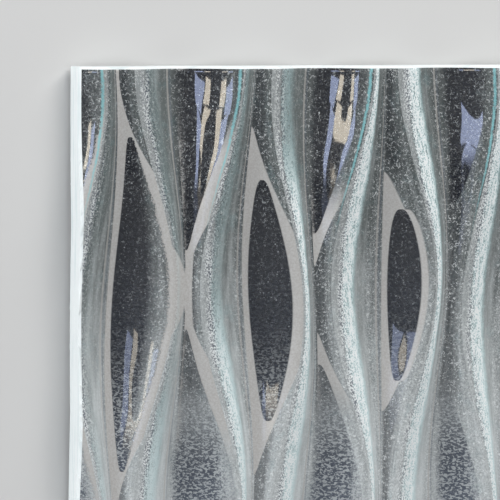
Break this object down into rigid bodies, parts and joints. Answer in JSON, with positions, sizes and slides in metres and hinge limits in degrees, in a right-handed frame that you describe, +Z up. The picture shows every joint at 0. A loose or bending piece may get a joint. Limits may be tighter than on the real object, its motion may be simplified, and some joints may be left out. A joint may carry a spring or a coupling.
{
  "type": "cast glass panel",
  "caption": "Thick kiln-cast clear glass sheet, its front carved into staggered lens-shaped valleys between swinging ridges, with flat cut edges.",
  "frame": {"origin": "middle of the underside, on the level of the flats that it rests on", "axes": "+Z up out of the carved front, +Y along the sheet towards the edge that is its top when it hangs, +X to the right seen from the front"},
  "size_m": [0.5, 0.6, 0.025],
  "materials": {
    "cast_glass": "clear kiln-cast glass, fire-polished on the front relief, finely grained on the underside, ground cut edges"
  },
  "bodies": {
    "root": {"glass_panel": "cast_glass"}
  },
  "joints": []
}
